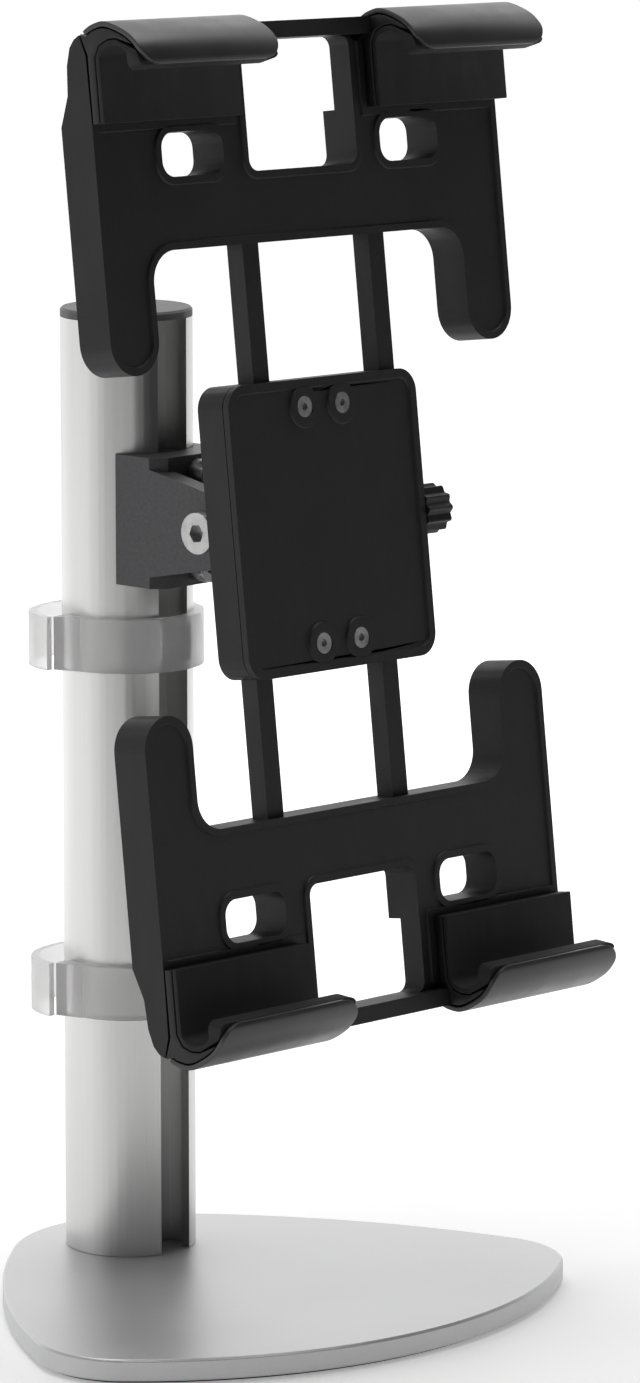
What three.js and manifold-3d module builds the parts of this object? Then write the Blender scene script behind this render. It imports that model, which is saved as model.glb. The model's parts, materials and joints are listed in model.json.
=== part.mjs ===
// Desk stand for a tablet: a heavy plate, a round slotted column with two cable clips, and a
// clamping cradle that tilts and turns on a short arm. Millimetres, +Z up, the tablet faces -Y,
// the column's axis is X = Y = 0 and the desk is Z = 0.
import * as THREE from 'three';
import { mergeVertices } from 'three/addons/utils/BufferGeometryUtils.js';
import Module from 'manifold-3d';

const wasm = await Module();
wasm.setup();

// ---- driving dimensions ----------------------------------------------------------------------

const seat = 0.1; // gap between pieces stacked square to each other
const gap = 0.3; // gap between pieces that touch inside the tilted head
const past = 1; // how far a cutter runs out past the face it cuts

// Base plate: a rounded triangle with bulging sides, its point under the column.
const plateThickness = 5.7;
const plateBevel = 0.6;
const plateTurn = -7.2; // degrees the plate is turned about the column
const frontCornerX = 57.3; // centres of the two front corner arcs
const frontCornerY = -71.5;
const rearCornerY = -12.1; // centre of the rear corner arc
const frontCornerRadius = 24.4;
const rearCornerRadius = 39;
const frontSideRadius = 111.4;
const flankRadius = 207;
const plateArcSegments = 16; // per arc of the outline
const padThickness = 0.8; // anti-slip sheet under the plate
const padInset = 2.5;

// Column: an extrusion with a T-slot facing the tablet and a cable duct behind.
const columnRadius = 17.25;
const columnLength = 247.5;
const slotHalf = 5.3;
const lipThickness = 3.65;
const channelHalf = 8;
const channelFloor = 6.5;
const ductWall = 2.5;
const ductFront = 6.5;
const columnSegments = 56;
const portRadius = 3.3; // screw port on the axis
const capThickness = 2.2;
const capEdge = 0.6;
const capPegLength = 12;
const dimpleRadius = 0.8;
const dimpleAt = [-5.3, 11.4];

// Plate screw, from below into the port.
const plateScrewRadius = 3;
const plateScrewHead = 6;
const plateScrewHeadHeight = 3.4;
const plateScrewLength = 24;
const plateScrewSocket = 2; // hexagon, to its corners
const plateScrewSocketDepth = 2.2;

// Cable clips: a band that grips the column, and a loop behind it that springs open at the left.
const clipHeight = 14;
const clipBottoms = { cable_clip_upper: 163, cable_clip_lower: 71 };
const clipBand = 2.5;
const clipWall = 1.8;
const clipClearance = 0.25;
const clipShoulderY = 5.6; // where the band ends and the loop begins
const clipShoulderReach = 5.15; // from the column's face to the shoulder's free end
const clipLoopReach = 7.25; // from the column's face to the loop's sides
const clipLoopBehind = 3.35;
const clipLoopCentre = 2.5;
const clipLoopPower = 2.5; // the loop's outline is a superellipse
const clipSlit = 0.4;
const clipKeyDepth = 2.2;
const clipKeyInset = 2; // the key stops this far from the clip's top and bottom

// Arm: a saddle clamped to the slot, with two ears that hold the tilt joint.
const pivotReach = 25.35; // from the column's face to the tilt axis
const pivotZ = 203.2;
const saddleHalfWidth = 14.5;
const saddleHalfHeight = 17;
const saddleDepth = 8.25; // from the column's face to the saddle's front
const saddleCorner = 3.5;
const saddleClearance = 0.35;
const earThickness = 5.6;
const earRadius = 10;
const earStep = 3; // the ears' roots stop this far from the saddle's ends
const clampScrewRadius = 2.5;
const clampScrewHead = 4;
const clampScrewHeadHeight = 5;
const clampScrewSocket = 2;
const clampScrewSocketDepth = 2.6;
const clampScrewTip = 1.5; // from the channel's floor
const clampScrewSpacing = 24;
const sliderHalfHeight = 16;
const sliderClearance = 0.4;

// Tilt joint and turning joint.
const recline = 7.4; // degrees
const roll = -1.1; // degrees the cradle is left turned on its axis
const tiltBoltRadius = 3;
const tiltBoltHead = 5.4;
const tiltBoltHeadHeight = 4;
const tiltBoltTip = 5.5; // past the right-hand ear
const boltSocket = 2.4; // hexagon, to its corners
const tiltBoltSocketDepth = 2.4;
const tiltNutRadius = 5.6; // hexagon, to its corners
const tiltNutHeight = 4.4;
const washerThickness = 0.8;
const washerInset = 1; // washers stop this far inside what they lie on
const knuckleRadius = 9;
const neckRadius = 7.8;
const flangeRadius = 19;
const flangeThickness = 4;
const turnDiscThickness = 1.4;
const turnBoltRadius = 3;
const turnBoltHead = 6.5;
const turnBoltHeadHeight = 1.9;
const turnBoltSocketDepth = 1;
const turnBoltTip = 4; // from the tilt axis
const turnWasherRadius = 7.6;
const pivotToHub = 20; // from the tilt axis to the hub's back face

// Cradle, measured from the centre of the tablet's front face: x right, y up, z outwards.
const tabletLength = 241.2;
const tabletThickness = 8.8;
const liningBack = 4.5; // from the tablet's back to the front of the half frames
const frameDepth = 10.7;
const hubHalfHeight = 37;
const hubWall = 4;
const hubEndWall = 2.5;
const hubFloor = 2.4;
const hubLid = 2;
const hubCorner = 6;
const bossRadius = 9.5;
const bossHeight = 3;
const lidScrewX = 7;
const lidScrewY = 30;
const lidBossRadius = 3.4;

// Rack and pinion that keep the two halves level about the middle.
const toothModule = 1.25;
const pinionTeeth = 24;
const pressureAngle = 20; // degrees
const backlash = 0.3;
const pinionThickness = 3;
const railWidth = 5.8;
const railThickness = 5.4;
const railEnd = -13.5;
const railSpacing = 2.04; // between one half's rack and the other half's guide
const rackTeethTop = 28;

// Half frame: two legs, a cross-bar and a slim top bar. The lower half is the same piece.
const frameHalf = 74.5;
const legWidth = 17;
const legFillet = 8;
const legReach = 78.6; // from the tablet's end to the tips of the legs
const barReach = 48.6; // from the tablet's end to the foot of the cross-bar
const windowReach = 30.6; // from the tablet's end to the foot of the windows
const windowHalf = 20;
const sideWindowInner = 29;
const sideWindowOuter = 51;
const windowFillet = 3;
const sideWindowFillet = 4;
const clawInner = 25.5;
const railSocket = 12; // how far the rails reach up into the cross-bar
const topBarRise = 6.4; // from the tablet's end to the top of the top bar
const topBarHeight = 4.3;
const topBarDepth = 10;
const topBarBack = 6.7; // how much of its depth lies behind the frame's front face

// Claw: a hook with a hard cover outside and a rubber lining inside.
const coverThickness = 1.3;
const liningThickness = 1.4;
const liningLipPoints = 4; // points of the outside, from the lip, that only the lining backs
const clawReach = 4.4; // how far the lining covers the front edge of the tablet
const clawFootReach = 16.6; // from the tablet's end to the lining's end behind it
const coverCorner = 6; // radius of the cover's corners at its lip
const liningCorner = 2.5;

const lockKnobRadius = 6.5;
const lockKnobLength = 9;
const lockKnobFlutes = 12;
const lockKnobFlute = 0.45; // half the depth of a flute
const lockScrewRadius = 2;
const lockScrewStep = 1.2; // from the hub's inner wall to the screw's tip
const shoeRoom = 0.8; // between the guide rail and the hub's inner wall
const smallScrewRadius = 1.4;
const smallScrewHead = 2.7;
const smallScrewHeadHeight = 1.3;
const smallScrewSocket = 1.1;
const lidScrewSocketDepth = 1;
const railScrewSocketDepth = 0.8;

// ---- values worked out from the driving dimensions ------------------------------------------------

const plateTop = padThickness + seat + plateThickness;
const columnBottom = plateTop + seat;
const columnTop = columnBottom + columnLength;
const lipDepth = columnRadius - lipThickness; // of the lips' inner faces from the axis
const pivotY = -(columnRadius + pivotReach);
const saddleFront = -(columnRadius + saddleDepth);
const clipShoulderX = columnRadius + clipShoulderReach;
const clipLoopHalf = columnRadius + clipLoopReach;
const clipLoopDepth = columnRadius + clipLoopBehind;
const edge = tabletLength / 2;
const rear = -tabletThickness;
const frameFront = rear - liningBack;
const backFace = frameFront - frameDepth;
const pivotToGlass = pivotToHub - backFace; // from the tilt axis to the tablet's front face
const legEnd = edge - legReach;
const barBottom = edge - barReach;
const windowBottom = edge - windowReach;
const clawFoot = edge - clawFootReach;
const hubLidZ = frameFront - hubLid;
const floorTop = backFace + hubFloor;
const railBack = floorTop + gap;
const lockHeight = railBack + railThickness / 2;
const pitchRadius = (toothModule * pinionTeeth) / 2;
const addendum = 0.95 * toothModule;
const dedendum = 1.25 * toothModule;
const rackBack = pitchRadius + dedendum + railWidth; // x of the rack's outer face
const guideInner = rackBack + railSpacing;
const cavityHalf = guideInner + railWidth + shoeRoom;
const cavityEnd = hubHalfHeight - hubEndWall;
const hubHalfWidth = cavityHalf + hubWall;
const earInner = saddleHalfWidth - earThickness;
const knuckleHalf = earInner - washerThickness - 2 * seat;

// ---- materials -------------------------------------------------------------------------------------

const finish = (color, roughness, metalness, extra = {}) =>
  new THREE.MeshStandardMaterial({ color, roughness, metalness, ...extra });

const materials = {
  silverPaint: finish(0xc4c5c6, 0.42, 0.35),
  anodised: finish(0xd4d4d2, 0.34, 0.85),
  blackPlastic: finish(0x2b2a2c, 0.62, 0),
  satinPlastic: finish(0x39383a, 0.36, 0),
  rubber: finish(0x131314, 0.85, 0),
  clearPlastic: finish(0xf1eeee, 0.25, 0, { transparent: true, opacity: 0.45 }),
  steel: finish(0xa9abad, 0.3, 1),
  nylon: finish(0xdcd8cc, 0.6, 0),
  castMetal: finish(0x4a4a4d, 0.5, 0.5),
};

// ---- solids ----------------------------------------------------------------------------------------

// Turns a closed geometry into a solid, whichever way its faces were wound.
function solid(geometry) {
  const bare = geometry.clone();
  bare.deleteAttribute('normal');
  bare.deleteAttribute('uv');
  const merged = mergeVertices(bare, 1e-4);
  const place = merged.attributes.position;
  const triangles = [];
  let volume = 0;
  const [a, b, c] = [new THREE.Vector3(), new THREE.Vector3(), new THREE.Vector3()];
  for (let i = 0; i < merged.index.count; i += 3) {
    const [p, q, r] = [0, 1, 2].map((k) => merged.index.getX(i + k));
    if (p === q || q === r || r === p) continue;
    triangles.push([p, q, r]);
    a.fromBufferAttribute(place, p);
    b.fromBufferAttribute(place, q);
    c.fromBufferAttribute(place, r);
    volume += a.dot(b.cross(c));
  }
  const wound = volume < 0 ? triangles.map(([p, q, r]) => [p, r, q]) : triangles;
  const vertProperties = new Float32Array(place.array);
  const triVerts = new Uint32Array(wound.flat());
  return new wasm.Manifold(new wasm.Mesh({ numProp: 3, vertProperties, triVerts }));
}

function toGeometry(body) {
  const mesh = body.getMesh();
  const geometry = new THREE.BufferGeometry();
  geometry.setAttribute('position', new THREE.BufferAttribute(new Float32Array(mesh.vertProperties), 3));
  geometry.setIndex(new THREE.BufferAttribute(new Uint32Array(mesh.triVerts), 1));
  geometry.computeVertexNormals();
  return geometry;
}

const joined = (first, ...rest) => rest.reduce((whole, piece) => whole.add(piece), first);
const cut = (first, ...rest) => rest.reduce((whole, piece) => whole.subtract(piece), first);

// An outline's points, with any that repeat the point before them left out.
function distinct(path, curveSegments) {
  const points = path.getPoints(curveSegments);
  return points.filter((point, i) => point.distanceTo(points.at(i - 1)) > 1e-3);
}

function extrusion(shape, length, curveSegments) {
  const plain = new THREE.Shape(distinct(shape, curveSegments));
  plain.holes = shape.holes.map((hole) => new THREE.Path(distinct(hole, curveSegments)));
  return new THREE.ExtrudeGeometry(plain, { depth: length, bevelEnabled: false });
}

// Outlines are extruded along Z from one height to another, or along X when drawn in (y, z).
function alongZ(shape, from, to, curveSegments = 12) {
  return extrusion(shape, to - from, curveSegments).translate(0, 0, from);
}

const yzPlane = new THREE.Matrix4().makeBasis(
  new THREE.Vector3(0, 1, 0),
  new THREE.Vector3(0, 0, 1),
  new THREE.Vector3(1, 0, 0),
);

function alongX(shape, from, to, curveSegments = 12) {
  return extrusion(shape, to - from, curveSegments).applyMatrix4(yzPlane).translate(from, 0, 0);
}

const outline = (points) => new THREE.Shape(points.map(([x, y]) => new THREE.Vector2(x, y)));

function roundedRect(x0, x1, y0, y1, r) {
  const shape = new THREE.Shape();
  shape.moveTo(x0 + r, y0);
  shape.lineTo(x1 - r, y0);
  shape.absarc(x1 - r, y0 + r, r, -Math.PI / 2, 0, false);
  shape.lineTo(x1, y1 - r);
  shape.absarc(x1 - r, y1 - r, r, 0, Math.PI / 2, false);
  shape.lineTo(x0 + r, y1);
  shape.absarc(x0 + r, y1 - r, r, Math.PI / 2, Math.PI, false);
  shape.lineTo(x0, y0 + r);
  shape.absarc(x0 + r, y0 + r, r, Math.PI, 1.5 * Math.PI, false);
  return shape;
}

function block(x0, x1, y0, y1, z0, z1) {
  const geometry = new THREE.BoxGeometry(x1 - x0, y1 - y0, z1 - z0);
  return geometry.translate((x0 + x1) / 2, (y0 + y1) / 2, (z0 + z1) / 2);
}

// A body turned about Z from a [radius, height] profile that begins and ends on the axis.
function turned(profile, segments = 24) {
  const points = profile.map(([r, z]) => new THREE.Vector2(r, z));
  return new THREE.LatheGeometry(points, segments).rotateX(Math.PI / 2);
}

function rodZ(radius, z0, z1, segments = 20, x = 0, y = 0) {
  const geometry = new THREE.CylinderGeometry(radius, radius, z1 - z0, segments).rotateX(Math.PI / 2);
  return geometry.translate(x, y, (z0 + z1) / 2);
}

function rodX(radius, x0, x1, segments = 20, y = 0, z = 0) {
  const geometry = new THREE.CylinderGeometry(radius, radius, x1 - x0, segments).rotateZ(Math.PI / 2);
  return geometry.translate((x0 + x1) / 2, y, z);
}

function rodY(radius, y0, y1, segments = 20, x = 0, z = 0) {
  const geometry = new THREE.CylinderGeometry(radius, radius, y1 - y0, segments);
  return geometry.translate(x, (y0 + y1) / 2, z);
}

const discs = (r, z) => [[0, z], [r, z]];

// ---- scene graph -----------------------------------------------------------------------------------

const group = new THREE.Group();

function part(name, body, material, parent = group) {
  const mesh = new THREE.Mesh(toGeometry(body), materials[material]);
  mesh.name = name;
  parent.add(mesh);
  return mesh;
}

const radians = THREE.MathUtils.degToRad;

const plateGroup = new THREE.Group();
plateGroup.rotation.z = radians(plateTurn);
group.add(plateGroup);

const armGroup = new THREE.Group();
armGroup.position.z = pivotZ;
group.add(armGroup);

const tiltGroup = new THREE.Group();
tiltGroup.position.set(0, pivotY, pivotZ);
tiltGroup.rotation.x = Math.PI / 2 - radians(recline);
group.add(tiltGroup);

const cradleGroup = new THREE.Group();
cradleGroup.position.z = pivotToGlass;
cradleGroup.rotation.z = radians(roll);
tiltGroup.add(cradleGroup);

// ---- base ------------------------------------------------------------------------------------------

// Three corner arcs joined by three side arcs, each tangent to the corners it joins.
function plateOutline(inset) {
  const corners = [
    { x: -frontCornerX, y: frontCornerY, r: frontCornerRadius - inset },
    { x: frontCornerX, y: frontCornerY, r: frontCornerRadius - inset },
    { x: 0, y: rearCornerY, r: rearCornerRadius - inset },
  ];
  const sides = [frontSideRadius, flankRadius, flankRadius].map((r) => r - inset);
  const centres = sides.map((radius, k) => {
    const [from, to] = [corners[k], corners[(k + 1) % 3]];
    const [reachFrom, reachTo] = [radius - from.r, radius - to.r];
    const span = Math.hypot(to.x - from.x, to.y - from.y);
    const [ux, uy] = [(to.x - from.x) / span, (to.y - from.y) / span];
    const along = (reachFrom ** 2 - reachTo ** 2 + span ** 2) / (2 * span);
    const inward = Math.sqrt(reachFrom ** 2 - along ** 2);
    return { x: from.x + ux * along - uy * inward, y: from.y + uy * along + ux * inward, r: radius };
  });
  const bearing = (centre, point) => Math.atan2(point.y - centre.y, point.x - centre.x);
  const shape = new THREE.Shape();
  centres.forEach((centre, k) => {
    const [from, to] = [corners[k], corners[(k + 1) % 3]];
    const next = centres[(k + 1) % 3];
    shape.absarc(centre.x, centre.y, centre.r, bearing(centre, from), bearing(centre, to), false);
    shape.absarc(to.x, to.y, to.r, bearing(centre, to), bearing(next, to), false);
  });
  return shape;
}

function basePlate() {
  const body = new THREE.ExtrudeGeometry(plateOutline(0), {
    depth: plateThickness - 2 * plateBevel,
    bevelThickness: plateBevel,
    bevelSize: plateBevel,
    bevelOffset: -plateBevel,
    bevelSegments: 1,
    curveSegments: plateArcSegments,
  }).translate(0, 0, padThickness + seat + plateBevel);
  const bottom = padThickness + seat;
  const bore = plateScrewRadius + gap;
  const rim = plateScrewHead + gap;
  const sink = turned([
    ...discs(rim, bottom - past),
    [rim, bottom + 2 * seat],
    [bore, bottom + plateScrewHeadHeight + 2 * seat],
    [bore, plateTop + past],
    [0, plateTop + past],
  ]);
  return cut(solid(body), solid(sink));
}

function basePad() {
  return solid(alongZ(plateOutline(padInset), 0, padThickness, plateArcSegments));
}

function plateScrew() {
  const bottom = padThickness + 2 * seat;
  const neck = bottom + plateScrewHeadHeight;
  const body = turned([
    ...discs(plateScrewHead, bottom),
    [plateScrewHead, bottom + seat],
    [plateScrewRadius, neck],
    [plateScrewRadius, bottom + plateScrewLength],
    [0, bottom + plateScrewLength],
  ]);
  const socket = rodZ(plateScrewSocket, bottom - past, bottom + plateScrewSocketDepth, 6);
  return cut(solid(body), solid(socket));
}

part('base_plate', basePlate(), 'silverPaint', plateGroup);
part('base_pad', basePad(), 'rubber', plateGroup);
part('base_screw', plateScrew(), 'steel', plateGroup);

// ---- column ----------------------------------------------------------------------------------------

function columnProfile() {
  const mouth = Math.asin(slotHalf / columnRadius);
  const shape = new THREE.Shape();
  shape.absarc(0, 0, columnRadius, -Math.PI / 2 + mouth, 1.5 * Math.PI - mouth, false);
  shape.lineTo(-slotHalf, -lipDepth);
  shape.lineTo(-channelHalf, -lipDepth);
  shape.lineTo(-channelHalf, -channelFloor);
  shape.lineTo(channelHalf, -channelFloor);
  shape.lineTo(channelHalf, -lipDepth);
  shape.lineTo(slotHalf, -lipDepth);
  shape.closePath();
  const ductRadius = columnRadius - ductWall;
  const ductCorner = Math.asin(ductFront / ductRadius);
  const duct = new THREE.Path();
  duct.absarc(0, 0, ductRadius, ductCorner, Math.PI - ductCorner, false);
  duct.closePath();
  const port = new THREE.Path();
  port.absarc(0, 0, portRadius, 0, 2 * Math.PI, false);
  shape.holes.push(duct, port);
  return shape;
}

function columnCap() {
  const bottom = columnTop + seat;
  const top = bottom + capThickness;
  const peg = portRadius - seat;
  const body = turned(
    [
      ...discs(peg, bottom - capPegLength),
      [peg, bottom],
      [columnRadius, bottom],
      [columnRadius, top - capEdge],
      [columnRadius - capEdge, top],
      [0, top],
    ],
    columnSegments,
  );
  const dimple = rodZ(dimpleRadius, top - dimpleRadius, top + past, 12, ...dimpleAt);
  return cut(solid(body), solid(dimple));
}

part('column', solid(alongZ(columnProfile(), columnBottom, columnTop, columnSegments)), 'anodised');
part('column_cap', columnCap(), 'blackPlastic');

// ---- cable clips -----------------------------------------------------------------------------------

// The loop's outline behind the shoulder, pulled in by an inset.
function loopOutline(inset, steps = 40) {
  const half = clipLoopHalf - inset;
  const depth = clipLoopDepth - inset;
  const start = Math.asin(((clipShoulderY - clipLoopCentre) / depth) ** (clipLoopPower / 2));
  const points = [];
  for (let i = 0; i <= steps; i += 1) {
    const angle = start + ((Math.PI - 2 * start) * i) / steps;
    const [c, s] = [Math.cos(angle), Math.sin(angle)];
    points.push([
      Math.sign(c) * half * Math.abs(c) ** (2 / clipLoopPower),
      clipLoopCentre + depth * s ** (2 / clipLoopPower),
    ]);
  }
  return points;
}

function cableClip(bottom) {
  const top = bottom + clipHeight;
  const bandOuter = columnRadius + clipClearance + clipBand;
  const shoulder = outline([
    [-clipShoulderX, clipShoulderY],
    [-bandOuter, -clipBand],
    [0, -clipBand],
    [bandOuter, -clipBand],
    [clipLoopHalf, clipShoulderY],
  ]);
  const band = new THREE.Shape();
  band.absarc(0, 0, bandOuter, Math.PI, 2 * Math.PI, false);
  const loop = outline(loopOutline(0));
  const chamber = outline(loopOutline(clipWall));
  const whole = joined(
    solid(alongZ(band, bottom, top, columnSegments / 2)),
    solid(alongZ(shoulder, bottom, top)),
    solid(alongZ(loop, bottom, top)),
  );
  const bore = solid(rodZ(columnRadius + clipClearance, bottom - past, top + past, columnSegments));
  const slit = solid(
    block(
      -clipLoopHalf - past,
      -clipShoulderX + clipWall,
      clipShoulderY - clipSlit,
      clipShoulderY,
      bottom - past,
      top + past,
    ),
  );
  const key = solid(
    block(
      -slotHalf + gap,
      slotHalf - gap,
      -columnRadius - clipClearance - clipBand / 2,
      -columnRadius + clipKeyDepth,
      bottom + clipKeyInset,
      top - clipKeyInset,
    ),
  );
  const opened = cut(whole, bore, solid(alongZ(chamber, bottom - past, top + past)), slit);
  return opened.add(key);
}

for (const [name, bottom] of Object.entries(clipBottoms)) {
  part(name, cableClip(bottom), 'clearPlastic');
}

// ---- arm -------------------------------------------------------------------------------------------

const clampHeights = [clampScrewSpacing / 2, -clampScrewSpacing / 2];

function slotSlider() {
  const wide = channelHalf - sliderClearance;
  const narrow = slotHalf - sliderClearance;
  const shoulder = -lipDepth + sliderClearance;
  const profile = outline([
    [-wide, -channelFloor - sliderClearance],
    [-wide, shoulder],
    [-narrow, shoulder],
    [-narrow, -columnRadius + sliderClearance],
    [narrow, -columnRadius + sliderClearance],
    [narrow, shoulder],
    [wide, shoulder],
    [wide, -channelFloor - sliderClearance],
  ]);
  const body = solid(alongZ(profile, -sliderHalfHeight, sliderHalfHeight));
  const bores = clampHeights.map((z) =>
    solid(rodY(clampScrewRadius + gap, -columnRadius - past, -channelFloor + past, 16, 0, z)),
  );
  return cut(body, ...bores);
}

function armBracket() {
  const hollow = columnRadius + saddleClearance;
  const reach = Math.asin(saddleHalfWidth / hollow);
  const profile = new THREE.Shape();
  profile.absarc(0, 0, hollow, -Math.PI / 2 + reach, -Math.PI / 2 - reach, true);
  profile.lineTo(-saddleHalfWidth, saddleFront + saddleCorner);
  profile.lineTo(-saddleHalfWidth + saddleCorner, saddleFront);
  profile.lineTo(saddleHalfWidth - saddleCorner, saddleFront);
  profile.lineTo(saddleHalfWidth, saddleFront + saddleCorner);
  profile.closePath();
  const saddle = solid(alongZ(profile, -saddleHalfHeight, saddleHalfHeight, 16));
  const root = saddleHalfHeight - earStep;
  const ear = new THREE.Shape();
  ear.moveTo(saddleFront + saddleCorner, -root);
  ear.lineTo(saddleFront + saddleCorner, root);
  ear.lineTo(pivotY, earRadius);
  ear.absarc(pivotY, 0, earRadius, Math.PI / 2, 1.5 * Math.PI, false);
  ear.closePath();
  const eye = new THREE.Path();
  eye.absarc(pivotY, 0, tiltBoltRadius + gap, 0, 2 * Math.PI, false);
  ear.holes.push(eye);
  const ears = [
    solid(alongX(ear, earInner, saddleHalfWidth)),
    solid(alongX(ear, -saddleHalfWidth, -earInner)),
  ];
  const bores = clampHeights.map((z) =>
    solid(rodY(clampScrewRadius + gap, saddleFront - past, -columnRadius + past, 16, 0, z)),
  );
  return cut(joined(saddle, ...ears), ...bores);
}

function clampScrew(z) {
  const under = saddleFront - seat;
  const face = under - clampScrewHeadHeight;
  const body = joined(
    solid(rodY(clampScrewHead, face, under, 20, 0, z)),
    solid(rodY(clampScrewRadius, under - past, -channelFloor - clampScrewTip, 16, 0, z)),
  );
  const socket = rodY(clampScrewSocket, face - past, face + clampScrewSocketDepth, 6, 0, z);
  return cut(body, solid(socket));
}

part('slot_slider', slotSlider(), 'steel', armGroup);
part('arm_bracket', armBracket(), 'castMetal', armGroup);
part('clamp_screw_upper', clampScrew(clampHeights[0]), 'steel', armGroup);
part('clamp_screw_lower', clampScrew(clampHeights[1]), 'steel', armGroup);

// ---- tilt and turning joint ------------------------------------------------------------------------

const flangeFront = pivotToHub - turnDiscThickness - 2 * gap;

function tiltKnuckle() {
  const barrel = solid(rodX(knuckleRadius, -knuckleHalf, knuckleHalf, 32));
  const neck = solid(rodZ(neckRadius, 0, flangeFront - flangeThickness / 2, 32));
  const flangeBack = flangeFront - flangeThickness;
  const flange = solid(rodZ(flangeRadius, flangeBack, flangeFront, 40));
  const neckSides = solid(
    block(-knuckleHalf, knuckleHalf, -flangeRadius, flangeRadius, -flangeRadius, flangeBack),
  );
  const bore = solid(rodX(tiltBoltRadius + gap, -knuckleHalf - past, knuckleHalf + past, 20));
  const port = solid(rodZ(turnBoltRadius + gap, turnBoltTip - gap, flangeFront + past, 20));
  return cut(joined(barrel, neck.intersect(neckSides), flange), bore, port);
}

function tiltBolt() {
  const face = saddleHalfWidth + seat;
  const top = -face - tiltBoltHeadHeight;
  const head = solid(rodX(tiltBoltHead, top, -face, 24));
  const shaft = solid(rodX(tiltBoltRadius, -face - past, face + tiltBoltTip, 20));
  const socket = solid(rodX(boltSocket, top - past, top + tiltBoltSocketDepth, 6));
  return cut(joined(head, shaft), socket);
}

function tiltNut() {
  const face = saddleHalfWidth + seat;
  const end = face + tiltNutHeight;
  const thread = rodX(tiltBoltRadius + gap, face - past, end + past, 20);
  return cut(solid(rodX(tiltNutRadius, face, end, 6)), solid(thread));
}

function frictionWasher(x0) {
  const ring = solid(rodX(knuckleRadius - washerInset, x0, x0 + washerThickness, 28));
  return cut(ring, solid(rodX(tiltBoltRadius + gap, x0 - past, x0 + washerThickness + past, 20)));
}

function turnDisc() {
  const z0 = flangeFront + gap;
  const ring = solid(rodZ(flangeRadius - washerInset, z0, z0 + turnDiscThickness, 40));
  return cut(ring, solid(rodZ(turnBoltRadius + gap, z0 - past, z0 + turnDiscThickness + past, 20)));
}

part('tilt_knuckle', tiltKnuckle(), 'castMetal', tiltGroup);
part('tilt_bolt', tiltBolt(), 'steel', tiltGroup);
part('tilt_nut', tiltNut(), 'steel', tiltGroup);
part('tilt_washer_left', frictionWasher(-knuckleHalf - seat - washerThickness), 'nylon', tiltGroup);
part('tilt_washer_right', frictionWasher(knuckleHalf + seat), 'nylon', tiltGroup);
part('turn_disc', turnDisc(), 'nylon', tiltGroup);

// Head and washer sit inside the hub, on its boss; the shank runs back into the knuckle.
const turnWasherBottom = pivotToHub + hubFloor + bossHeight + gap;
const turnHeadBottom = turnWasherBottom + washerThickness + gap;

function turnBolt() {
  const top = turnHeadBottom + turnBoltHeadHeight;
  const head = solid(rodZ(turnBoltHead, turnHeadBottom, top, 24));
  const shaft = solid(rodZ(turnBoltRadius, turnBoltTip, turnHeadBottom + past, 20));
  const socket = solid(rodZ(boltSocket, top - turnBoltSocketDepth, top + past, 6));
  return cut(joined(head, shaft), socket);
}

function turnWasher() {
  const top = turnWasherBottom + washerThickness;
  const ring = solid(rodZ(turnWasherRadius, turnWasherBottom, top, 28));
  return cut(ring, solid(rodZ(turnBoltRadius + gap, turnWasherBottom - past, top + past, 20)));
}

part('turn_bolt', turnBolt(), 'steel', tiltGroup);
part('turn_washer', turnWasher(), 'steel', tiltGroup);

// ---- cradle hub ------------------------------------------------------------------------------------

const lidScrews = [1, -1].flatMap((row) => [-1, 1].map((side) => [side * lidScrewX, row * lidScrewY]));
const rackSpan = [pitchRadius - addendum - gap, rackBack + gap];
const guideSpan = [guideInner - gap, guideInner + railWidth + gap];

// The four mouths where the rails enter: rack left and guide right at the top, and turned at the foot.
function railMouths(z0, z1) {
  return [1, -1].flatMap((side) =>
    [rackSpan.map((x) => -x), guideSpan].map(([from, to]) => {
      const xs = [side * from, side * to].sort((p, q) => p - q);
      const ys = [side * (cavityEnd - past), side * (hubHalfHeight + past)].sort((p, q) => p - q);
      return solid(block(...xs, ...ys, z0, z1));
    }),
  );
}

function hubBack() {
  const tray = roundedRect(-hubHalfWidth, hubHalfWidth, -hubHalfHeight, hubHalfHeight, hubCorner);
  const top = hubLidZ - seat;
  const shell = cut(
    solid(alongZ(tray, backFace, top, 5)),
    solid(block(-cavityHalf, cavityHalf, -cavityEnd, cavityEnd, floorTop, top + past)),
    ...railMouths(floorTop, top + past),
  );
  const root = backFace + hubFloor / 2;
  const port = smallScrewRadius + gap;
  const boss = solid(rodZ(bossRadius, root, floorTop + bossHeight, 36));
  const bosses = lidScrews.map(([x, y]) => solid(rodZ(lidBossRadius, root, top, 20, x, y)));
  const ports = lidScrews.map(([x, y]) => solid(rodZ(port, floorTop + past, top + past, 16, x, y)));
  const bore = solid(rodZ(turnBoltRadius + gap, backFace - past, floorTop + bossHeight + past, 20));
  const wall = [cavityHalf - past, hubHalfWidth + past];
  const lockBore = solid(rodX(lockScrewRadius + gap, ...wall, 20, 0, lockHeight));
  return cut(joined(shell, boss, ...bosses), bore, lockBore, ...ports);
}

function hubLidPlate() {
  const plate = roundedRect(-hubHalfWidth, hubHalfWidth, -hubHalfHeight, hubHalfHeight, hubCorner);
  const sinks = lidScrews.map(([x, y]) => {
    const bore = smallScrewRadius + gap;
    const rim = smallScrewHead + gap;
    return solid(
      turned(
        [
          ...discs(bore, hubLidZ - past),
          [bore, frameFront - rim + bore],
          [rim, frameFront],
          [rim, frameFront + past],
          [0, frameFront + past],
        ],
        20,
      ).translate(x, y, 0),
    );
  });
  return cut(solid(alongZ(plate, hubLidZ, frameFront, 5)), ...sinks);
}

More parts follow.
